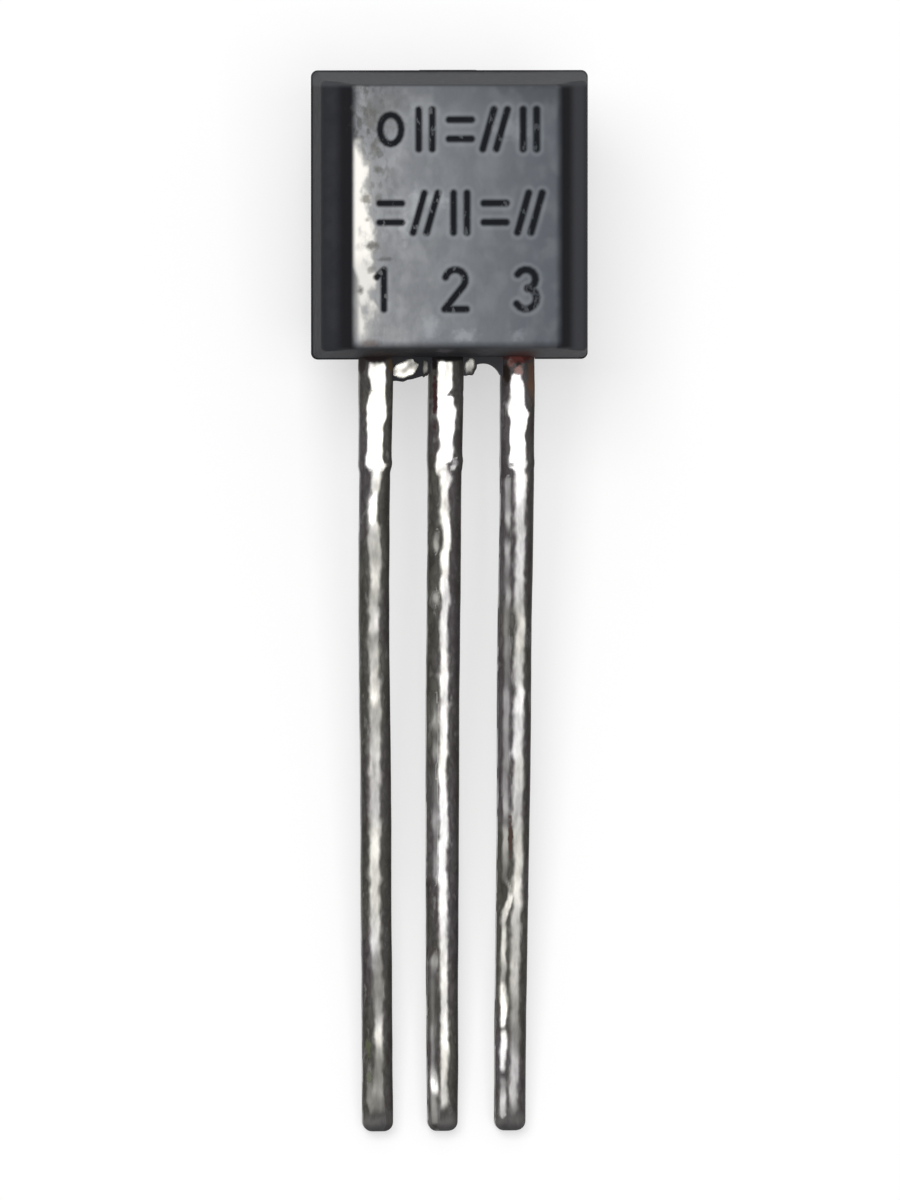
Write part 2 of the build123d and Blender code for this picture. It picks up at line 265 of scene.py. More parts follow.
def shine_of(lead, along, u):
    """How much bright solder a point of the upper side has, and how well that shines."""
    wander = 0.05 * lumps(u * 2.0, along * 4.0, lead["seed"] + 1)
    stray = along + 0.07 * lumps(u * 3.0, along * 3.0, lead["seed"] - 5)
    place, half, shine = run_at(lead["crown"], stray)
    crest = solder_stripe(u + wander, place, half)
    bead_place, bead_half, bead_shine = run_at(lead["bead"], stray)
    on_bead = solder_stripe(u + wander, bead_place, bead_half)
    if on_bead * bead_shine > crest * shine:
        return on_bead, bead_shine
    return crest, shine


def shine_behind(seed, along, u):
    """The same for the lower side, where one dull run of solder wanders down the middle."""
    ragged = 0.10 * lumps(u * 2.5, along * 5.0, seed)
    wander = 0.16 * lumps(0.0, along * 1.3, seed + 9)
    patch = lumps(u, along * 2.1, seed - 9)
    crest = 1 - smooth_step(abs(u - wander) + ragged + 0.3 * patch, 0.15, 0.60)
    return crest, 0.27 + 0.25 * patch


def shine_beside(seed, along, v, w):
    """The same for the flanks, where the solder is dull and patchy."""
    patch = lumps(w * 2.0, along * 1.7, seed + 21 * v)
    crest = (1 - smooth_step(abs(w), 0.30, 0.65)) * (0.45 + 0.5 * patch)
    return crest, 0.36 + 0.25 * patch


def solder_section(lead, along):
    """Points round one section of a dipped lead, each with how much crown it has and its polish, which also
    paints its highlight.
    """
    seed = lead["seed"]
    middle = keyed(lead["middle"], along)[0]
    half_width = keyed(lead["half_width"], along)[0]
    place, half, _ = run_at(lead["crown"], along)
    bead_place, bead_half, _ = run_at(lead["bead"], along)
    left_over = tip_share(along)
    half_width -= TIP_ROUNDING * (1 - left_over)
    half_thickness = LEAD_HALF_THICKNESS - TIE_BAR_SWELL - TIP_THINNING * (1 - left_over)
    half_thickness += TIE_BAR_SWELL * bell(along, TIE_BAR_AT - 0.02, 0.08)
    power = crown_power(min(half + CROWN_SPREAD, WIDEST_CROWN))
    bead_v = abs(bead_place - place) / (1 + place)
    bead_top = half_thickness * (1 - bead_v**power) ** (1 / power) + BEAD_HEIGHT
    bead_bend = BEAD_SLOPE / max(bead_half * half_width, 0.01)
    stub = lead["stub"] * bell(along, TIE_BAR_AT, 0.07)

    ring = []
    for step in range(RING_POINTS):
        turn = 2 * math.pi * step / RING_POINTS
        reach = (abs(math.cos(turn)) ** power + abs(math.sin(turn)) ** power) ** (-1 / power)
        v, w = reach * math.cos(turn), reach * math.sin(turn)
        lean = place if w > 0 else -0.5 * place
        u = lean + v * (1 - lean if v > 0 else 1 + lean)
        x = u * half_width
        z = w * half_thickness
        lift = solder_relief(seed, x, z, along) * left_over
        if w > 0:
            for dent_along, dent_place, length, width, depth in lead["dents"]:
                lift -= depth * bell(along, dent_along, length) * bell(u, dent_place, width)
        x += (lift * 0.6 + (stub if v > 0 else 0.2 * stub)) * v
        z += lift * w
        if w > 0:
            crest, gloss_and_highlight = shine_of(lead, along, u)
            if bead_half > 0.02:
                bead_z = bead_top - bead_bend / 2 * (x - bead_place * half_width) ** 2 + lift * 0.5
                z = max(z, bead_z)
        else:
            crest, gloss_and_highlight = shine_behind(seed, along, u)
        crest, gloss_and_highlight = max((crest, gloss_and_highlight), shine_beside(seed, along, v, w), key=lambda pair: pair[0])
        ring.append(((middle + x, -along, z), crest, gloss_and_highlight))
    return ring


def join_rings(mesh, first, second):
    """Faces between two rings of as many points; points that coincide leave triangles."""
    for index in range(len(first)):
        after = (index + 1) % len(first)
        corners = dict.fromkeys((first[index], first[after], second[after], second[index]))
        if len(corners) > 2:
            mesh.faces.new(list(corners)).smooth = True


def dipped_outside(lead):
    """The closed skin of the dipped lead, from inside the package to its tip."""
    mesh = bmesh.new()
    crest_layer = mesh.verts.layers.float.new("crest")
    polish_and_highlight_layer = mesh.verts.layers.float.new("polish_and_highlight")
    straight = int((LEAD_ROOT + LEAD_LENGTH - TIP_ROUNDING) * RINGS_PER_MM)
    lengths = [-LEAD_ROOT + step / RINGS_PER_MM for step in range(straight)]
    for step in range(TIP_RINGS + 1):
        lengths.append(LEAD_LENGTH - TIP_ROUNDING * (1 - math.sin(math.pi / 2 * step / TIP_RINGS)))
    rings = []
    for along in lengths:
        ring = []
        for point, crest, gloss_and_highlight in solder_section(lead, along):
            vertex = mesh.verts.new(point)
            vertex[crest_layer] = crest
            vertex[polish_and_highlight_layer] = gloss_and_highlight
            ring.append(vertex)
        rings.append(ring)
    for upper, lower in zip(rings, rings[1:]):
        join_rings(mesh, upper, lower)
    mesh.faces.new(rings[0][::-1])
    mesh.faces.new(rings[-1])
    bmesh.ops.recalc_face_normals(mesh, faces=mesh.faces[:])
    return mesh


def add_stamped_root(mesh, node, row):
    """Adds the bare frame inside the package: the solid's own neck, bond post or flag."""
    inside = bmesh.new()
    inside.from_mesh(frame["nodes"][node].data)
    to_package = Matrix.Scale(1 / MM, 4) @ lay.inverted()
    inside.transform(Matrix.Translation((-row * LEAD_PITCH, 0, 0)) @ to_package)
    bmesh.ops.remove_doubles(inside, verts=inside.verts[:], dist=1e-4)
    everything = inside.verts[:] + inside.edges[:] + inside.faces[:]
    cut = {"plane_co": (0, LEAD_ROOT - ROOT_OVERLAP, 0), "plane_no": (0, -1, 0), "clear_outer": True}
    bmesh.ops.bisect_plane(inside, geom=everything, dist=1e-5, **cut)
    bmesh.ops.holes_fill(inside, edges=[edge for edge in inside.edges if edge.is_boundary])
    kept = bpy.data.meshes.new("stamped_root")
    inside.to_mesh(kept)
    inside.free()
    mesh.from_mesh(kept)
    bpy.data.meshes.remove(kept)


def add_drop(mesh, middle, reach, lean, height, shine):
    """Adds a low smear of solder with an uneven outline and top, closed underneath."""
    crest_layer = mesh.verts.layers.float["crest"]
    polish_and_highlight_layer = mesh.verts.layers.float["polish_and_highlight"]
    around, rings = 48, 14
    ring_before = None
    for step in range(rings + 1):
        share = math.sin(math.pi / 2 * step / rings)
        ring = []
        for index in range(around):
            turn = 2 * math.pi * index / around
            out_x, out_y = math.cos(turn), math.sin(turn)
            ragged = 1 + 0.30 * lumps(out_x * 1.6, out_y * 1.6, middle[0] * 9)
            x = reach[0] * share * ragged * out_x
            y = reach[1] * share * ragged * out_y + lean * x
            x, y = middle[0] + x, middle[1] + y
            dimple = 0.006 * lumps(x * 9, y * 9, 7.0)
            z = middle[2] - DROP_SINK + height * (1 - share**4) + dimple * (1 - share)
            vertex = mesh.verts.new((x, y, z))
            vertex[crest_layer] = 1 - smooth_step(share, 0.70, 1.0)
            streak = lumps(x * 5 - y * 5, x * 3 + y * 3, 3.0)
            vertex[polish_and_highlight_layer] = shine * (1 + 1.3 * streak)
            ring.append(vertex)
        if ring_before:
            join_rings(mesh, ring, ring_before)
        ring_before = ring
    mesh.faces.new(ring_before[::-1])


# Shades: the values that change over a surface, and the shader groups that more than one finish uses.


def plug(node, inputs):
    """Sets inputs of a node, by name or number, to values or to the shades that feed them."""
    for name, value in inputs.items():
        if isinstance(value, Shade):
            value.tree.links.new(value.socket, node.inputs[name])
        else:
            node.inputs[name].default_value = value


def add_node(tree, kind, inputs=None, **settings):
    """Adds a shader node with its settings and inputs."""
    node = tree.nodes.new("ShaderNode" + kind)
    for name, value in settings.items():
        setattr(node, name, value)
    plug(node, inputs or {})
    return node


def maths(operation, *values):
    """A Math node's result."""
    tree = next(value.tree for value in values if isinstance(value, Shade))
    return Shade(tree, add_node(tree, "Math", dict(enumerate(values)), operation=operation).outputs[0])


class Shade:
    """A number or a place that changes over a surface; what is worked out from it is a shade too."""

    def __init__(self, tree, socket):
        self.tree, self.socket = tree, socket

    def __add__(self, other):
        return maths("ADD", self, other)

    def __sub__(self, other):
        return maths("SUBTRACT", self, other)

    def __rsub__(self, other):
        return maths("SUBTRACT", other, self)

    def __mul__(self, other):
        return maths("MULTIPLY", self, other)

    def ramp(self, start, end, low=0.0, high=1.0):
        """Goes smoothly from low to high as the shade goes from start to end."""
        limits = {"Value": self, "From Min": start, "From Max": end, "To Min": low, "To Max": high}
        node = add_node(self.tree, "MapRange", limits, interpolation_type="SMOOTHSTEP")
        return Shade(self.tree, node.outputs["Result"])

    def vector(self, operation, other=(0.0, 0.0, 0.0)):
        """A Vector Math node's result: a number for a dot product or a length, and a place for the rest."""
        node = add_node(self.tree, "VectorMath", {0: self, 1: other}, operation=operation)
        is_number = operation in ("DOT_PRODUCT", "LENGTH")
        return Shade(self.tree, node.outputs["Value" if is_number else "Vector"])

    def noise(self, scale, detail=2.0, roughness=0.5):
        """Noise at a place, from about 0.3 to 0.7."""
        inputs = {"Vector": self, "Scale": scale, "Detail": detail, "Roughness": roughness}
        return Shade(self.tree, add_node(self.tree, "TexNoise", inputs).outputs["Fac"])

    def relief(self, strength, depth):
        """The normal of a surface that stands off by the shade, as far as a depth in millimetres."""
        node = add_node(self.tree, "Bump", {"Height": self, "Strength": strength, "Distance": depth * MM})
        return Shade(self.tree, node.outputs["Normal"])


def opaque(colour):
    """A colour with its alpha, where it is written with three numbers."""
    return colour if isinstance(colour, Shade) else (*colour, 1.0)


def blend(share, first, second):
    """Mixes two colours; share 0 gives the first. A Mix node has its colours in sockets 6, 7 and 2."""
    inputs = {0: share, 6: opaque(first), 7: opaque(second)}
    return Shade(share.tree, add_node(share.tree, "Mix", inputs, data_type="RGBA").outputs[2])


def painted(tree, name):
    """A mask that the mesh carries, point by point."""
    return Shade(tree, add_node(tree, "Attribute", attribute_name=name).outputs["Fac"])


def new_surface(name):
    """A material with an empty tree but for its Principled shader, and that shader."""
    surface = bpy.data.materials.new(name)
    surface.use_nodes = True
    tree = surface.node_tree
    shader = next(node for node in tree.nodes if node.type == "BSDF_PRINCIPLED")
    return surface, tree, shader


def new_group(name, inputs, output, kind):
    """A shader group: its tree, its inputs (name: default) as shades, and the socket of its output."""
    group = bpy.data.node_groups.new(name, "ShaderNodeTree")
    for label, default in inputs.items():
        socket_type = "NodeSocketVector" if isinstance(default, tuple) else "NodeSocketFloat"
        socket = group.interface.new_socket(label, in_out="INPUT", socket_type=socket_type)
        socket.default_value = default
    group.interface.new_socket(output, in_out="OUTPUT", socket_type=kind)
    entry = group.nodes.new("NodeGroupInput")
    shades = [Shade(group, entry.outputs[label]) for label in inputs]
    return group, shades, group.nodes.new("NodeGroupOutput").inputs[output]


def use_group(tree, group, inputs):
    """Places a group in a material with its own values, and gives its output."""
    return Shade(tree, add_node(tree, "Group", inputs, node_tree=group).outputs[0])


def make_package_place():
    """Group: where a point lies in the package's own millimetres, times a stretch on each axis."""
    inputs = {"Stretch": (1.0, 1.0, 1.0)}
    group, (stretch,), result = new_group("package_place", inputs, "Place", "NodeSocketVector")
    lying = Shade(group, add_node(group, "TexCoord").outputs["Object"])
    from_exit = lying.vector("SUBTRACT", tuple(lead_exit))
    along_axes = [from_exit.vector("DOT_PRODUCT", tuple(axis / MM)) for axis in package_axes]
    joined = add_node(group, "CombineXYZ", dict(zip("XYZ", along_axes)))
    place = Shade(group, joined.outputs["Vector"]).vector("MULTIPLY", stretch)
    group.links.new(place.socket, result)
    return group


def make_ragged_blot():
    """Group: a blot with a ragged edge, 1 inside an ellipsoid at Centre and 0 outside it."""
    middle, unit = (0.0, 0.0, 0.0), (1.0, 1.0, 1.0)
    inputs = {"Place": middle, "Centre": middle, "Reach": unit, "Raggedness": 0.5, "Softness": 0.3}
    group, shades, result = new_group("ragged_blot", inputs, "Mask", "NodeSocketFloat")
    place, centre, reach, raggedness, softness = shades
    outwards = place.vector("SUBTRACT", centre).vector("DIVIDE", reach).vector("LENGTH")
    wander = (place.noise(8.0, 3.0) - 0.5) * raggedness
    mask = (wander * 2.0 + outwards).ramp(1.0, 1.0 - softness)
    group.links.new(mask.socket, result)
    return group


package_place = make_package_place()
ragged_blot = make_ragged_blot()


def place_in_package(tree, stretch=(1.0, 1.0, 1.0)):
    """Package millimetres, squeezed or stretched along the axes."""
    return use_group(tree, package_place, {"Stretch": stretch})


def axes_of(place):
    """The three numbers of a place: across, along and level."""
    node = add_node(place.tree, "SeparateXYZ", {"Vector": place})
    return [Shade(place.tree, socket) for socket in node.outputs]


def blot(place, centre, reach, raggedness, softness):
    """The mask of a ragged blot in package millimetres."""
    inputs = {"Centre": centre, "Reach": reach, "Raggedness": raggedness, "Softness": softness}
    return use_group(place.tree, ragged_blot, {"Place": place, **inputs})


STAIN_SOFTNESS = 0.5
# Centre, reach, raggedness and colour of each stain on the leads: copper, brown, black and green.
LEAD_STAINS = [
    ((1.27, 0.04, 0.20), (0.45, 0.14, 0.40), 0.4, (0.060, 0.016, 0.014)),
    ((1.12, -0.07, 0.20), (0.10, 0.12, 0.20), 0.9, (0.22, 0.125, 0.110)),
    ((1.27, -0.19, 0.20), (0.10, 0.10, 0.20), 1.0, (0.40, 0.25, 0.23)),
    ((1.24, -0.02, 0.20), (0.17, 0.09, 0.20), 1.2, (0.125, 0.036, 0.032)),
    ((1.50, -0.42, 0.10), (0.12, 0.55, 0.22), 0.5, (0.100, 0.058, 0.040)),
    ((1.05, -0.30, 0.10), (0.09, 0.35, 0.22), 0.5, (0.020, 0.013, 0.010)),
    ((-1.27, 0.06, 0.15), (0.50, 0.14, 0.45), 0.3, (0.018, 0.012, 0.011)),
    ((-1.02, -0.12, 0.10), (0.08, 0.20, 0.20), 0.4, (0.080, 0.055, 0.030)),
    ((-1.53, -0.10, 0.05), (0.10, 0.20, 0.30), 0.5, (0.045, 0.036, 0.036)),
    ((0.0, 0.05, 0.15), (0.50, 0.13, 0.45), 0.3, (0.006, 0.005, 0.006)),
    ((-0.23, -0.10, 0.10), (0.07, 0.25, 0.25), 0.5, (0.010, 0.007, 0.008)),
    ((-0.23, -0.75, 0.10), (0.06, 0.70, 0.22), 0.6, (0.042, 0.016, 0.017)),
    ((-1.42, -12.32, 0.15), (0.06, 0.20, 0.20), 1.2, (0.090, 0.100, 0.060)),
    ((-1.41, -12.82, 0.15), (0.06, 0.12, 0.20), 1.2, (0.135, 0.145, 0.105)),
    ((1.12, -8.55, 0.20), (0.05, 0.42, 0.20), 0.9, (0.070, 0.042, 0.034)),
]


def make_solder_coat():
    """Dipped solder: bright crown with painted highlight, sides of tarnish and painted dark reflection, dull
    tips, copper and brown by the package.
    """
    surface, tree, shader = new_surface("solder_dipped_lead")
    place = place_in_package(tree)
    streaky = place_in_package(tree, (1.0, 0.3, 1.0))
    across, along, _ = axes_of(place)
    crest, polish_and_highlight = painted(tree, "crest"), painted(tree, "polish_and_highlight")
    patchy, drops, hue = streaky.noise(7.0, 3.0, 0.6), streaky.noise(3.2), streaky.noise(1.3)
    mottle = patchy.ramp(0.35, 0.65)

    # The sides, olive in some stretches and mauve in others, partly tarnish and partly painted dark
    # reflection, and darkest at the foot of the crown.
    olive = blend(mottle, (0.050, 0.047, 0.039), (0.081, 0.079, 0.068))
    mauve = blend(mottle, (0.052, 0.043, 0.045), (0.084, 0.076, 0.079))
    side = blend(hue.ramp(0.42, 0.58), olive, mauve)
    flecks = streaky.noise(6.5, 3.0, 0.6).ramp(0.60, 0.70)
    side = blend(flecks * 0.6, side, (0.20, 0.195, 0.19))
    ragged_edge = place_in_package(tree, (1.0, 0.5, 1.0)).noise(9.0, 1.5)
    crest = (ragged_edge - 0.5) * 0.8 + crest
    foot = crest.ramp(-0.05, 0.06) * crest.ramp(0.22, 0.08)
    side = blend(foot * 0.35, side, (0.018, 0.017, 0.016))

    # The crown, as bright as its polish, which also paints how bright the lamp's highlight on it is, and
    # the tips, which are dull where no polish is left.
    crest = crest.ramp(0.02, 0.88)
    shine = (patchy - 0.5) * 1.5 + 1.35 + (drops - 0.5)
    shine = maths("MINIMUM", shine * polish_and_highlight, 1.0)
    bright = blend(hue.ramp(0.40, 0.60), (0.665, 0.650, 0.600), (0.660, 0.645, 0.645))
    crown = blend(shine, (0.012, 0.011, 0.010), bright)
    colour = blend(crest, side, crown)
    dull_tip = (patchy * 0.5 + along).ramp(-13.15, -13.35) * (crest * polish_and_highlight).ramp(0.14, 0.05)
    dull = blend(mottle, (0.082, 0.079, 0.078), (0.125, 0.121, 0.118))
    dull = blend(along.ramp(-13.58, -13.78, 0.0, 0.75), dull, (0.036, 0.034, 0.035))
    colour = blend(dull_tip, colour, dull)
    past_middle = maths("WRAP", across, LEAD_PITCH / 2, -LEAD_PITCH / 2)
    shaded = past_middle.ramp(0.05, 0.17, 0.0, 0.45) * crest.ramp(0.5, 0.2)
    colour = blend(shaded, colour, (0.022, 0.019, 0.018))

    stained = 0.0
    for centre, reach, raggedness, tint in LEAD_STAINS:
        stain = blot(place, centre, reach, raggedness, STAIN_SOFTNESS)
        colour = blend(stain, colour, tint)
        stained = maths("MAXIMUM", stained, stain)
    clean = 1.0 - maths("MAXIMUM", stained, dull_tip)
    sheen = crest * shine * -0.26 + 0.42 + dull_tip * 0.25 + stained * 0.40
    # The sides stay nearly unmetallic, so that they show their painted dark reflection and not the floor.
    metal = crest.ramp(0.0, 0.45, 0.1, 1.0) * clean
    fine = streaky.noise(22.0, 4.0, 0.6).relief(0.3, 0.004)
    plug(shader, {"Base Color": colour, "Metallic": metal, "Roughness": sheen, "Normal": fine})
    plug(shader, {"Specular IOR Level": 0.2})
    return surface


solder_coat = make_solder_coat()
for node, lead in LEADS.items():
    skin = dipped_outside(lead)
    for drop in lead["drops"]:
        add_drop(skin, *drop)
    add_stamped_root(skin, node, lead["row"])
    skin.transform(Matrix.Translation((lead["row"] * LEAD_PITCH, 0, 0)))
    piece = add_piece("dipped_" + node, skin, solder_coat)
    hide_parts(node)


# --- the die, its bond and its wires ---
# Sealed inside the resin: a silicon chip bedded in silver-filled resin on the middle lead's flag, and
# three gold wires from it to the leads. They keep their solids and get their own finishes.


def make_sealed_finish(name, colour, metallic, roughness, grain):
    """A finely mottled finish for a piece inside the package."""
    surface, tree, shader = new_surface(name)
    mottle = place_in_package(tree).noise(grain, 3.0)
    darker = [channel * 0.75 for channel in colour]
    tint = blend(mottle.ramp(0.35, 0.65), darker, colour)
    uneven = mottle.ramp(0.3, 0.7, roughness - 0.06, roughness + 0.06)
    plug(shader, {"Base Color": tint, "Metallic": metallic, "Roughness": uneven})
    return surface


silicon = make_sealed_finish("silicon_chip", (0.19, 0.20, 0.24), 0.6, 0.22, 6.0)
silver_resin = make_sealed_finish("silver_filled_resin", (0.42, 0.42, 0.41), 0.3, 0.55, 40.0)
gold = make_sealed_finish("drawn_gold", (0.85, 0.56, 0.16), 1.0, 0.2, 60.0)
sealed_pieces = {
    "regulator_die": silicon,
    "die_attach_layer": silver_resin,
    "bond_wire_output": gold,
    "bond_wire_ground": gold,
    "bond_wire_input": gold,
}
for node, finish in sealed_pieces.items():
    data = frame["nodes"][node].data
    data.materials.clear()
    data.materials.append(finish)


# --- the moulded package ---
# Glass-filled black epoxy, moulded round the lead frame in one shot. Walls, sloping shoulders and a
# raised flat face, all with softly rounded edges. The face is greyer than the rest, partly as painted
# sheen, with a painted glare down its left edge and pale patches along its lower edge, and carries
# dark etched marks. The sides carry painted light and shade.
BODY_HALF_WIDTH, BODY_LENGTH = 2.455, 5.11
FACE_LEVEL = 1.40
FACE_MARGIN = 0.12  # from the face's sharp rim in to the fine skin that carries the marks
SIDE_INSET, END_INSET = 0.58, 0.2242  # from the walls' feet in to the face's rims
# Both profiles are lists of inset and level, from the parting line to the skin of the face.
SIDE_PROFILE = [(0.0, 0.0), (0.08, 0.95), (0.37, 1.10)]
SIDE_PROFILE += [(SIDE_INSET, FACE_LEVEL), (SIDE_INSET + FACE_MARGIN, FACE_LEVEL)]
END_PROFILE = [(0.0, 0.0), (END_INSET, FACE_LEVEL), (END_INSET + FACE_MARGIN, FACE_LEVEL)]
EDGE_ROUNDING = 0.07
RIM_ROUNDING = {"left": 0.035, "right": 0.13, "far_end": 0.08, "lead_end": 0.12}
RIM_REACH = 0.16  # how far down the shoulders the rims' own roundings hold
EDGE_STEPS = (-0.10, -0.06, -0.02, 0.02, 0.06, 0.10)  # rings of the shell round each edge
RIM_STEPS = (-0.13, -0.10, -0.07, -0.04, -0.01, 0.02, 0.05, 0.08)  # and round the face's rim
CORNER_RADIUS = 0.10
CORNER_POINTS = 7
SHELL_FOOT = 0.26  # above the openings for the leads; the solid's own skin is kept below this level
SHARPEST_BEND = 32  # degrees; edges that bend more stay crisp
FACE_HALF_WIDTH = BODY_HALF_WIDTH - SIDE_INSET
FACE_GRID = 0.02
WORN_DEPTH, WORN_WIDTH = 0.022, 0.34  # the left edge of the face, worn over
MARK_STROKE = 0.060  # half the width of an etched stroke
MARK_SOFTNESS = 0.022
MARK_DEPTH = 0.012
MARK_PITCH = 0.62
MARK_SHIFT = 0.06  # the rows of marks sit a little to the right of the face's middle
MARK_HALF_WIDTH, MARK_HALF_HEIGHT = 0.20, 0.35
MARK_ROWS = {"upper": 4.10, "middle": 2.62, "lower": 1.26}
LYING_SPREAD, UPRIGHT_SPREAD, BAR_SLANT = 0.17, 0.12, 0.10
HALO_AT, HALO_SPREAD = 0.045, 0.035  # a pale line round each stroke, painted as a highlight on its rim


def bar_pair(x, y, way):
    """Two short bars side by side: upright, slanted or lying."""
    if way == "lying":
        left, right = x - MARK_HALF_WIDTH, x + MARK_HALF_WIDTH
        return [((left, level), (right, level)) for level in (y + LYING_SPREAD, y - LYING_SPREAD)]
    slant = BAR_SLANT if way == "slanted" else 0.0
    strokes = []
    for middle in (x - UPRIGHT_SPREAD, x + UPRIGHT_SPREAD):
        foot = (middle - slant, y - MARK_HALF_HEIGHT)
        top = (middle + slant, y + MARK_HALF_HEIGHT)
        strokes.append((foot, top))
    return strokes


def arc_strokes(x, y, half_width, half_height, start, end, steps=9):
    """A round or oval arc between two angles in degrees, as strokes."""
    turns = [math.radians(start + (end - start) * step / steps) for step in range(steps + 1)]
    points = [(x + half_width * math.cos(turn), y + half_height * math.sin(turn)) for turn in turns]
    return list(zip(points, points[1:]))


def pin_number(number, x, y):
    """The plain number of a lead, as strokes."""
    top, foot = y + MARK_HALF_HEIGHT, y - MARK_HALF_HEIGHT
    if number == 1:
        return [((x, top), (x, foot)), ((x, top), (x - 0.13, top - 0.13))]
    if number == 2:
        strokes = arc_strokes(x, top - 0.18, 0.18, 0.18, 165, -35)
        strokes += [((x + 0.147, top - 0.283), (x - 0.19, foot)), ((x - 0.19, foot), (x + 0.20, foot))]
        return strokes
    strokes = arc_strokes(x - 0.01, top - 0.17, 0.17, 0.17, 150, -80)
    return strokes + arc_strokes(x - 0.01, foot + 0.19, 0.19, 0.19, 80, -150)


def etched_strokes():
    """Every stroke of the generic marking on the flat face."""
    columns = [package_middle + MARK_SHIFT + step * MARK_PITCH for step in range(-2, 3)]
    strokes = arc_strokes(columns[0], MARK_ROWS["upper"], 0.19, 0.26, 0, 360, 16)
    for x, way in zip(columns[1:], ("upright", "lying", "slanted", "upright")):
        strokes += bar_pair(x, MARK_ROWS["upper"], way)
    for x, way in zip(columns, ("lying", "slanted", "upright", "lying", "slanted")):
        strokes += bar_pair(x, MARK_ROWS["middle"], way)
    for number in (1, 2, 3):
        x = (number - 2) * LEAD_PITCH + 0.02
        strokes += pin_number(number, x, MARK_ROWS["lower"])
    return strokes


def gap_to_strokes(x, y, strokes):
    """Distance from each point of the grids x and y to the middle line of the nearest stroke."""
    nearest = np.full(x.shape, 9.0)
    for (x0, y0), (x1, y1) in strokes:
        run_x, run_y = x1 - x0, y1 - y0
        share = ((x - x0) * run_x + (y - y0) * run_y) / (run_x**2 + run_y**2)
        share = np.clip(share, 0, 1)
        gap = np.hypot(x - x0 - share * run_x, y - y0 - share * run_y)
        nearest = np.minimum(nearest, gap)
    return nearest


def along_profile(profile, distance):
    """Inset and level at a distance along a profile, which goes straight on past both its ends."""
    for index, ((inset0, level0), (inset1, level1)) in enumerate(zip(profile, profile[1:])):
        run = math.hypot(inset1 - inset0, level1 - level0)
        if distance <= run or index == len(profile) - 2:
            share = distance / run
            return inset0 + (inset1 - inset0) * share, level0 + (level1 - level0) * share
        distance -= run


def rounded(profile, distance, rounding):
    """The same with its corners rounded off: the mean over a short stretch on both sides."""
    spread = [along_profile(profile, distance + rounding * step / 4) for step in range(-4, 5)]
    return sum(inset for inset, _ in spread) / 9, sum(level for _, level in spread) / 9


def shell_stations():
    """Distances along the side profile of the rings of the shell, closer together at the edges."""
    turns = [0.0]
    for (inset0, level0), (inset1, level1) in zip(SIDE_PROFILE, SIDE_PROFILE[1:4]):
        turns.append(turns[-1] + math.hypot(inset1 - inset0, level1 - level0))
    stations = [SHELL_FOOT + 0.03, 0.60]
    stations += [turn + step for turn in turns[1:3] for step in EDGE_STEPS]
    return stations + [turns[3] + step for step in RIM_STEPS], turns[3]


def shell_ring(station, rim, columns, rows):
    """Points round the package at one station, from the foot of the right side, seen from the front."""
    beyond = max(0.0, station - rim)
    level = min(along_profile(SIDE_PROFILE, station)[1], FACE_LEVEL)
    end_station = level / FACE_LEVEL * math.hypot(*END_PROFILE[1]) + beyond
    near_rim = station > rim - RIM_REACH
    cut = {}  # how far each side is set in here, and its level
    for side, rounding in RIM_ROUNDING.items():
        if side in ("far_end", "lead_end"):
            cut[side] = rounded(END_PROFILE, end_station, rounding)
        else:
            cut[side] = rounded(SIDE_PROFILE, station, rounding if near_rim else EDGE_ROUNDING)
    left = package_middle - BODY_HALF_WIDTH + cut["left"][0]
    right = package_middle + BODY_HALF_WIDTH - cut["right"][0]
    bottom, top = cut["lead_end"][0], BODY_LENGTH - cut["far_end"][0]
    radius = CORNER_RADIUS * (1 - beyond / FACE_MARGIN)
    width, height = right - left - 2 * radius, top - bottom - 2 * radius
    rightwards = [left + radius + width * step / columns for step in range(columns + 1)]
    upwards = [bottom + radius + height * step / rows for step in range(rows + 1)]

    def corner(x, y, side, end, quarter):
        points = []
        for step in range(1, CORNER_POINTS + 1):
            turn = math.pi / 2 * (quarter + step / (CORNER_POINTS + 1))
            across, up = math.cos(turn), math.sin(turn)
            z = cut[side][1] * across**2 + cut[end][1] * up**2
            points.append((x + radius * across, y + radius * up, z))
        return points

    ring = [(right, y, cut["right"][1]) for y in upwards]
    ring += corner(rightwards[-1], upwards[-1], "right", "far_end", 0)
    ring += [(x, top, cut["far_end"][1]) for x in rightwards[::-1]]
    ring += corner(rightwards[0], upwards[-1], "left", "far_end", 1)
    ring += [(left, y, cut["left"][1]) for y in upwards[::-1]]
    ring += corner(rightwards[0], upwards[0], "left", "lead_end", 2)
    ring += [(x, bottom, cut["lead_end"][1]) for x in rightwards]
    return ring + corner(rightwards[-1], upwards[0], "right", "lead_end", 3)


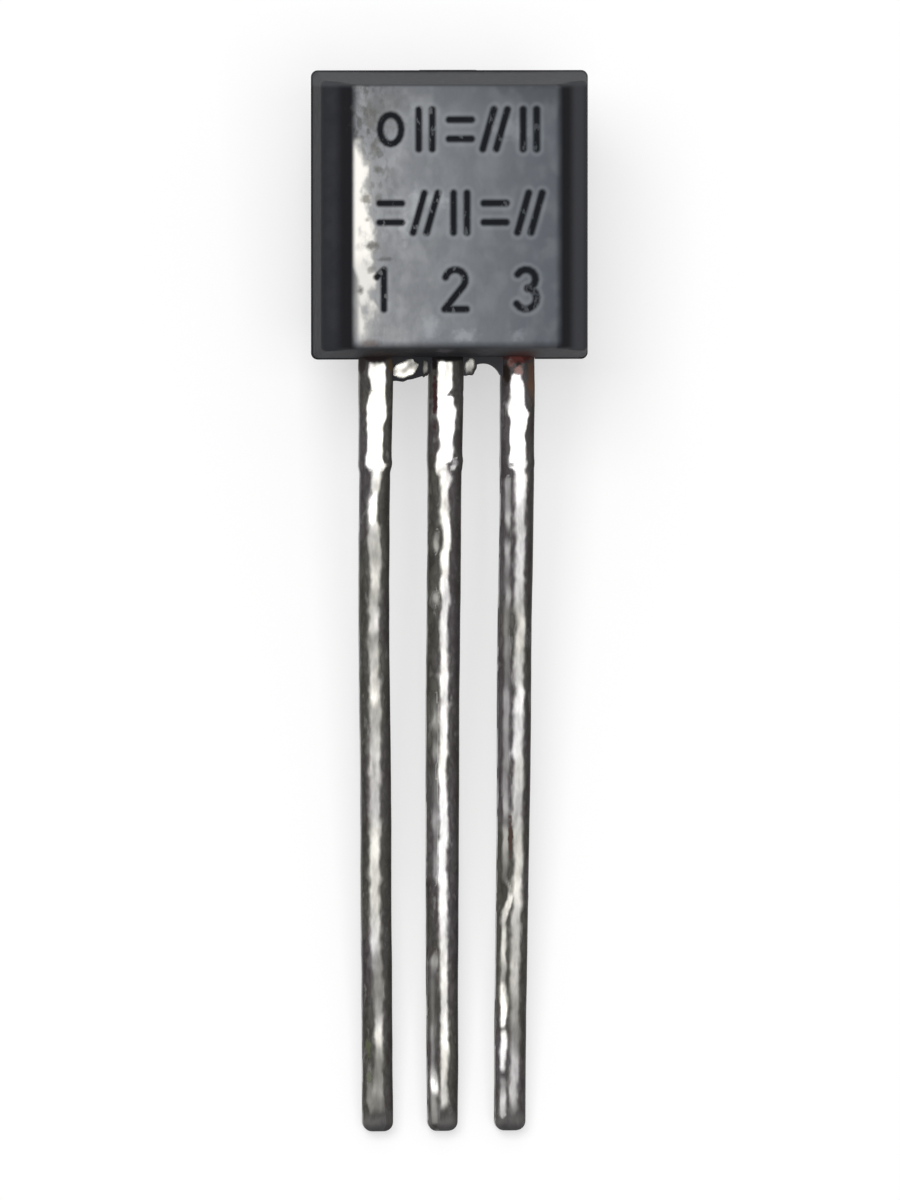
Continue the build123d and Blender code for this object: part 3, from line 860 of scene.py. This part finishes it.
def face_skin(mesh, columns, rows):
    """The fine skin of the flat face; gives its rim in the order of the shell's rings."""
    etched, halo = mesh.verts.layers.float["etched"], mesh.verts.layers.float["halo"]
    left = package_middle - FACE_HALF_WIDTH + FACE_MARGIN
    bottom, top = END_PROFILE[-1][0], BODY_LENGTH - END_PROFILE[-1][0]
    xs = left + np.arange(columns + 1) * 2 * (FACE_HALF_WIDTH - FACE_MARGIN) / columns
    ys = bottom + np.arange(rows + 1) * (top - bottom) / rows
    gap = gap_to_strokes(*np.meshgrid(xs, ys), etched_strokes())
    cover = np.clip((MARK_STROKE + MARK_SOFTNESS - gap) / (2 * MARK_SOFTNESS), 0, 1)
    ridge = np.exp(-(((gap - MARK_STROKE - HALO_AT) / HALO_SPREAD) ** 2))
    skin = []
    for row in range(rows + 1):
        line = []
        for column in range(columns + 1):
            vertex = mesh.verts.new((xs[column], ys[row], FACE_LEVEL))
            vertex[etched] = cover[row, column]
            vertex[halo] = ridge[row, column]
            line.append(vertex)
        skin.append(line)
    for lower, upper in zip(skin, skin[1:]):
        for column in range(columns):
            mesh.faces.new((lower[column], lower[column + 1], upper[column + 1], upper[column]))
    right_side = [line[-1] for line in skin]
    left_side = [line[0] for line in reversed(skin)]
    rim = right_side + [skin[-1][-1]] * CORNER_POINTS + skin[-1][::-1] + [skin[-1][0]] * CORNER_POINTS
    rim += left_side + [skin[0][0]] * CORNER_POINTS + skin[0] + [skin[0][-1]] * CORNER_POINTS
    return rim


def cut_solid(mesh):
    """Takes the outer skin above the shell's foot off the solid, and gives the rim that is left."""
    everything = mesh.verts[:] + mesh.edges[:] + mesh.faces[:]
    foot = (0, 0, SHELL_FOOT)
    bmesh.ops.bisect_plane(mesh, geom=everything, dist=1e-5, plane_co=foot, plane_no=(0, 0, 1))
    # The walls of the hollows round the die and the frame lie inside these limits, and are kept.
    half_width, near_end, far_end, top = 1.80, 0.24, 4.5, 1.0
    outside = []
    for face in mesh.faces:
        x, y, z = face.calc_center_median()
        in_skin = abs(x - package_middle) > half_width or y < near_end or y > far_end or z > top
        if z > SHELL_FOOT and in_skin:
            outside.append(face)
    bmesh.ops.delete(mesh, geom=outside, context="FACES")
    return list({vertex for edge in mesh.edges if edge.is_boundary for vertex in edge.verts})


def bearing(vertex):
    """Direction of a point of the shell from the middle of the package."""
    return math.atan2(vertex.co.y - BODY_LENGTH / 2, vertex.co.x - package_middle)


def close_gap(mesh, first, second):
    """Triangles between two rings that have different numbers of points."""
    first, second = sorted(set(first), key=bearing), sorted(set(second), key=bearing)
    done_first = done_second = 0

    def ahead(ring, done):
        return bearing(ring[(done + 1) % len(ring)]) + 2 * math.pi * ((done + 1) // len(ring))

    while done_first < len(first) or done_second < len(second):
        one, other = first[done_first % len(first)], second[done_second % len(second)]
        if done_second == len(second) or (
            done_first < len(first) and ahead(first, done_first) < ahead(second, done_second)
        ):
            done_first += 1
            mesh.faces.new((one, first[done_first % len(first)], other))
        else:
            done_second += 1
            mesh.faces.new((one, second[done_second % len(second)], other))


def face_drop(x, y):
    """How far the flat lies below its true plane: the left edge is worn over, the rest nearly flat."""
    from_left = x - (package_middle - FACE_HALF_WIDTH)
    worn_over = WORN_DEPTH * max(0.0, 1 - from_left / WORN_WIDTH) ** 2
    swell = 0.0012 * lumps(x * 1.1, y * 1.1, 4.0)
    pitted = 0.0014 * lumps(x * 6, y * 4.5, 1.0) * (1 - smooth_step(from_left, 0.3, 1.2))
    return worn_over + swell + pitted


def package_mesh():
    """The solid's lower part and back, a shell with rounded edges, and the fine skin of the face."""
    mesh = bmesh.new()
    for name in ("etched", "halo"):
        mesh.verts.layers.float.new(name)
    mesh.from_mesh(frame["nodes"]["package_body"].data)
    mesh.transform(Matrix.Scale(1 / MM, 4) @ lay.inverted())
    bmesh.ops.remove_doubles(mesh, verts=mesh.verts[:], dist=1e-4)
    foot = cut_solid(mesh)
    columns = round(2 * (FACE_HALF_WIDTH - FACE_MARGIN) / FACE_GRID)
    rows = round((BODY_LENGTH - 2 * END_PROFILE[-1][0]) / FACE_GRID)
    stations, rim_station = shell_stations()
    rings = []
    for station in stations:
        points = shell_ring(station, rim_station, columns, rows)
        rings.append([mesh.verts.new(point) for point in points])
    rings.append(face_skin(mesh, columns, rows))
    for lower, upper in zip(rings, rings[1:]):
        join_rings(mesh, lower, upper)
    close_gap(mesh, foot, rings[0])

    etched = mesh.verts.layers.float["etched"]
    for vertex in mesh.verts:
        if vertex.co.z > FACE_LEVEL - 0.10 and abs(vertex.co.x - package_middle) < 2.0:
            hold = smooth_step(vertex.co.z, FACE_LEVEL - 0.10, FACE_LEVEL - 0.01)
            drop = face_drop(vertex.co.x, vertex.co.y) + MARK_DEPTH * vertex[etched]
            vertex.co.z -= hold * drop
    for face in mesh.faces:
        face.smooth = True
    bmesh.ops.recalc_face_normals(mesh, faces=mesh.faces[:])
    for edge in mesh.edges:
        edge.smooth = len(edge.link_faces) == 2 and edge.calc_face_angle() < math.radians(SHARPEST_BEND)
    return mesh


PATCH_DEPTH, PATCH_SOFTNESS = 0.3, 0.85
# Place on the face, reach, raggedness, strength and colour of each pale or dark patch on it.
FACE_PATCHES = [
    ((-0.45, 0.60), (0.22, 0.28), 0.6, 0.50, (0.40, 0.42, 0.44)),
    ((0.18, 0.45), (0.34, 0.15), 0.7, 0.45, (0.38, 0.40, 0.42)),
    ((1.12, 0.45), (0.20, 0.14), 0.7, 0.35, (0.33, 0.34, 0.37)),
    ((-1.05, 0.50), (0.34, 0.20), 0.9, 0.35, (0.36, 0.36, 0.35)),
    ((-0.38, 2.85), (0.45, 0.20), 0.8, 0.35, (0.42, 0.44, 0.46)),
    ((-0.90, 2.35), (0.12, 0.40), 0.7, 0.45, (0.50, 0.51, 0.52)),
    ((-0.68, 2.75), (0.14, 0.45), 0.6, 0.40, (0.44, 0.46, 0.48)),
    ((0.95, 4.12), (0.50, 0.25), 0.8, 0.30, (0.30, 0.32, 0.34)),
    ((-1.30, 4.40), (0.60, 0.55), 0.8, 0.50, (0.125, 0.126, 0.122)),
    ((-1.48, 4.30), (0.16, 0.42), 0.9, 0.50, (0.115, 0.112, 0.100)),
    ((-1.42, 3.78), (0.13, 0.22), 0.8, 0.65, (0.125, 0.120, 0.105)),
    ((-1.36, 2.88), (0.10, 0.14), 0.7, 0.50, (0.08, 0.078, 0.066)),
    ((-1.55, 2.50), (0.07, 0.07), 0.6, 0.60, (0.18, 0.155, 0.13)),
    ((-1.46, 2.03), (0.16, 0.15), 0.7, 0.85, (0.09, 0.088, 0.08)),
    ((-1.22, 1.80), (0.20, 0.06), 0.6, 0.65, (0.08, 0.080, 0.076)),
    ((-1.67, 1.26), (0.09, 0.11), 0.5, 0.85, (0.08, 0.075, 0.068)),
    ((-1.50, 0.32), (0.22, 0.11), 0.6, 0.60, (0.16, 0.12, 0.11)),
    ((-1.56, 2.89), (0.14, 0.13), 0.7, 0.85, (0.16, 0.150, 0.130)),
    ((-1.48, 1.62), (0.12, 0.10), 0.7, 0.70, (0.20, 0.190, 0.175)),
    ((-1.37, 3.38), (0.12, 0.13), 0.6, 0.70, (0.10, 0.100, 0.085)),
]


def make_epoxy():
    """Black filled epoxy: matt sides, a smoother grey face, painted light and shade, a painted glare, pale
    patches, dark etched marks.
    """
    surface, tree, shader = new_surface("moulded_black_epoxy")
    place = place_in_package(tree)
    across, along, level = axes_of(place)
    cloudy = place.noise(1.6, 4.0, 0.6)
    lumpy = place_in_package(tree, (1.0, 0.7, 1.0)).noise(3.4, 1.5)
    speckle = place_in_package(tree, (1.0, 0.6, 1.0)).noise(9.0)
    from_middle = maths("ABSOLUTE", across - package_middle)
    from_left = across - (package_middle - FACE_HALF_WIDTH)
    side_edges = from_left.ramp(-0.02, 0.13) * from_left.ramp(3.80, 3.60)
    end_edges = along.ramp(0.17, 0.38) * along.ramp(4.90, 4.84)
    on_face = side_edges * end_edges * level.ramp(1.25, 1.30)

    # The sides, with painted light and shade: lighter to the right and on the far end, darker on the
    # walls, at the lead end and in the steps beside the face, and a darker band along the far lip.
    matt = blend(cloudy.ramp(0.35, 0.65), (0.021, 0.022, 0.027), (0.029, 0.030, 0.035))
    on_right = across.ramp(package_middle - 0.5, package_middle + 1.0)
    matt = blend(on_right, matt, (0.042, 0.043, 0.049))
    matt = blend(from_middle.ramp(2.25, 2.40), matt, (0.019, 0.020, 0.024))
    far_end = along.ramp(4.82, 4.90) * level.ramp(-0.05, 0.05)
    matt = blend(far_end, matt, (0.050, 0.052, 0.057))
    far_lip = along.ramp(4.98, 5.02) * level.ramp(0.30, 0.05) * from_middle.ramp(2.2, 0.9) * 0.75
    matt = blend(far_lip, matt, (0.020, 0.021, 0.024))
    lead_end = along.ramp(0.28, 0.20) * level.ramp(0.20, 0.60)
    lead_end = lead_end * across.ramp(-1.75, -1.05) * across.ramp(0.95, 0.25)
    matt = blend(lead_end, matt, (0.008, 0.008, 0.012))
    in_corner = from_middle.ramp(2.18, 1.98) * from_middle.ramp(1.76, 1.82)
    in_corner = in_corner * along.ramp(4.93, 4.80) * along.ramp(0.16, 0.26) * level.ramp(0.85, 0.95)
    matt = blend(in_corner, matt, (0.011, 0.011, 0.014))

    # The face: a grey that is partly painted sheen, lighter to the left and below and darker to the right
    # and above as painted sheen, with soft blotches.
    plain = blend(from_left.ramp(0.2, 2.4), (0.262, 0.270, 0.288), (0.158, 0.171, 0.188))
    plain = blend(from_left.ramp(1.8, 3.9), plain, (0.084, 0.094, 0.112))
    above = along.ramp(4.10, 4.85) * from_left.ramp(1.8, 3.4, 0.36, 0.80)
    plain = blend(above, plain, (0.050, 0.057, 0.065))
    plain = blend(cloudy.ramp(0.35, 0.65, 0.0, 0.22), plain, (0.085, 0.094, 0.106))
    pale = lumpy.ramp(0.42, 0.70) * (from_left.ramp(1.9, 0.3) * 0.50 + 0.12)
    plain = blend(pale, plain, (0.36, 0.37, 0.38))
    by_strip = from_left.ramp(0.95, 0.30) * along.ramp(2.2, 3.2, 0.25, 0.65)
    dusky = speckle.ramp(0.58, 0.34) * (by_strip + 0.12)
    plain = blend(dusky, plain, (0.080, 0.083, 0.080))
    # A pale line round each etched stroke: a painted highlight on its rim.
    plain = blend(painted(tree, "halo") * 0.20, plain, (0.32, 0.34, 0.36))
    colour = blend(on_face, matt, plain)

    # Painted glare: an almost white highlight strip down the worn left edge, breaking up into grey patches.
    swell = (speckle - 0.5) * 0.30 + (lumpy - 0.5) * 0.75
    ragged = from_left + swell + along.ramp(3.30, 4.00, 0.0, 0.22)
    span = along.ramp(0.22, 0.60) * along.ramp(4.00, 3.75)
    grey_strip = ragged.ramp(0.62, 0.20) * span * on_face
    colour = blend(grey_strip * 0.6, colour, (0.42, 0.415, 0.40))
    on_edge = (from_left + along.ramp(1.70, 1.40, 0.0, -0.08)).ramp(0.0, 0.09)
    painted_glare = ragged.ramp(0.41, 0.17) * span * on_edge * level.ramp(1.10, 1.25)
    painted_glare = painted_glare * (1.0 - along.ramp(1.95, 1.60, 0.0, 0.30))
    colour = blend(painted_glare, colour, (0.95, 0.925, 0.865))
    for (x, y), (reach_x, reach_y), raggedness, strength, tint in FACE_PATCHES:
        reach = (reach_x, reach_y, PATCH_DEPTH)
        patch = blot(place, (x, y, FACE_LEVEL), reach, raggedness, PATCH_SOFTNESS)
        colour = blend(patch * strength, colour, tint)
    worn_mark = painted(tree, "etched") * speckle.ramp(0.30, 0.42, 0.6, 1.0)
    colour = blend(worn_mark, colour, (0.0045, 0.0055, 0.008))

    # Mauve, copper and brown that bled from the leads on to the foot of the package.
    mauve = blot(place, (-0.13, 0.16, 1.00), (0.22, 0.16, 0.4), 0.8, PATCH_SOFTNESS)
    colour = blend(mauve * 0.75, colour, (0.080, 0.073, 0.084))
    copper = blot(place, (1.29, 0.06, 0.35), (0.42, 0.34, 1.05), 0.7, 0.8)
    colour = blend(copper, colour, (0.058, 0.019, 0.016))
    brown = blot(place, (-1.22, 0.06, 0.35), (0.48, 0.30, 1.05), 0.7, 0.8)
    colour = blend(brown, colour, (0.030, 0.021, 0.019))

    rough = speckle * 0.16 + (on_face.ramp(0.0, 1.0, 0.70, 0.46) - 0.08)
    rough = painted_glare * -0.08 + rough
    rough = maths("MAXIMUM", worn_mark, in_corner) * 0.30 + rough
    grain = place.noise(30.0, 3.0, 0.6).relief(0.2, 0.006)
    plug(shader, {"Base Color": colour, "Roughness": rough, "Normal": grain})
    plug(shader, {"Specular IOR Level": 0.25})
    return surface


package = add_piece("moulded_package", package_mesh(), make_epoxy())
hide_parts("package_body")


# --- floor, light and camera ---
# A plain white floor, a bright lamp that the solder mirrors as white strips, a second that lights the
# far end without being mirrored, a broad dim one beyond it, and an even sky. The camera looks almost
# along the face's normal, a little from the output side.
WHITE = (1.0, 1.0, 1.0, 1.0)
SHADOW_LIFT = 0.50  # how much of the floor's own white shows through the shadow on it


def make_white_paper():
    """Matt white paper that the camera, metal and glass see whiter than the lamps alone would make it."""
    surface, tree, shader = new_surface("white_floor")
    plug(shader, {"Base Color": (0.99, 0.99, 0.99, 1.0), "Roughness": 0.9, "Specular IOR Level": 0.0})
    ray = add_node(tree, "LightPath")
    seen = 0.0
    for kind in ("Is Camera Ray", "Is Glossy Ray", "Is Transmission Ray"):
        seen = maths("MAXIMUM", seen, Shade(tree, ray.outputs[kind]))
    lit = Shade(tree, shader.outputs["BSDF"])
    white = Shade(tree, add_node(tree, "Emission", {"Color": WHITE, "Strength": 1.0}).outputs["Emission"])
    mixed = add_node(tree, "MixShader", {0: seen * SHADOW_LIFT, 1: lit, 2: white})
    output = next(node for node in tree.nodes if node.type == "OUTPUT_MATERIAL")
    plug(output, {"Surface": Shade(tree, mixed.outputs["Shader"])})
    return surface


floor_data = bpy.data.meshes.new("white_floor")
floor_shape = bmesh.new()
bmesh.ops.create_grid(floor_shape, x_segments=1, y_segments=1, size=3.0)
floor_shape.to_mesh(floor_data)
floor_shape.free()
floor_data.materials.append(make_white_paper())
add_object("white_floor", floor_data)

world = bpy.data.worlds.new("even_sky")
bpy.context.scene.world = world
world.use_nodes = True
sky = next(node for node in world.node_tree.nodes if node.type == "BACKGROUND")
plug(sky, {"Color": WHITE, "Strength": 0.30})

VIEW_HEIGHT = 21.40 * MM
VIEW_DISTANCE = 300 * MM
VIEW_TOP, VIEW_SHIFT = 5.17, 0.01  # the far end of the face as it is seen, and a touch to the right
view_centre = lay @ (Vector((package_middle + VIEW_SHIFT, (VIEW_TOP - LEAD_LENGTH) / 2, 0)) * MM)


def direction(to_left, to_far_end):
    """Unit vector near the face's normal, leaning by degrees to the output side and the far end."""
    tan_left, tan_end = math.tan(math.radians(to_left)), math.tan(math.radians(to_far_end))
    return (lay.to_3x3() @ Vector((-tan_left, tan_end, 1.0))).normalized()


def look(thing, back, distance):
    """Places a camera or lamp at a distance from the middle of the view, looking at it."""
    right = (-towards_tips).cross(back).normalized()
    axes = Matrix((right, back.cross(right), back)).transposed().to_4x4()
    axes.translation = view_centre + back * distance
    thing.matrix_world = axes


def add_lamp(name, back, distance, size, radiance, mirrored=True):
    """A square soft lamp of a given brightness, which shiny surfaces may mirror or not."""
    lamp = bpy.data.lights.new(name, "AREA")
    lamp.shape = "SQUARE"
    lamp.size = size
    lamp.energy = radiance * size**2 * math.pi
    thing = add_object(name, lamp)
    look(thing, back, distance)
    thing.visible_glossy = mirrored


add_lamp("bright_lamp", direction(-6.0, -2.6), 0.60, 0.32, 3.2)
add_lamp("fill_lamp", direction(17.0, 22.0), 0.60, 0.34, 4.6, mirrored=False)
add_lamp("broad_lamp", direction(5.5, 50.0), 0.80, 0.80, 0.5)

camera_data = bpy.data.cameras.new("camera")
camera_data.sensor_width = 36.0
camera_data.lens = camera_data.sensor_width * VIEW_DISTANCE / VIEW_HEIGHT
camera_data.clip_start = 0.005
camera_data.clip_end = 20.0
camera = add_object("camera", camera_data)
look(camera, direction(5.5, 2.6), VIEW_DISTANCE)
bpy.context.scene.camera = camera
bpy.context.scene.view_settings.view_transform = "Standard"
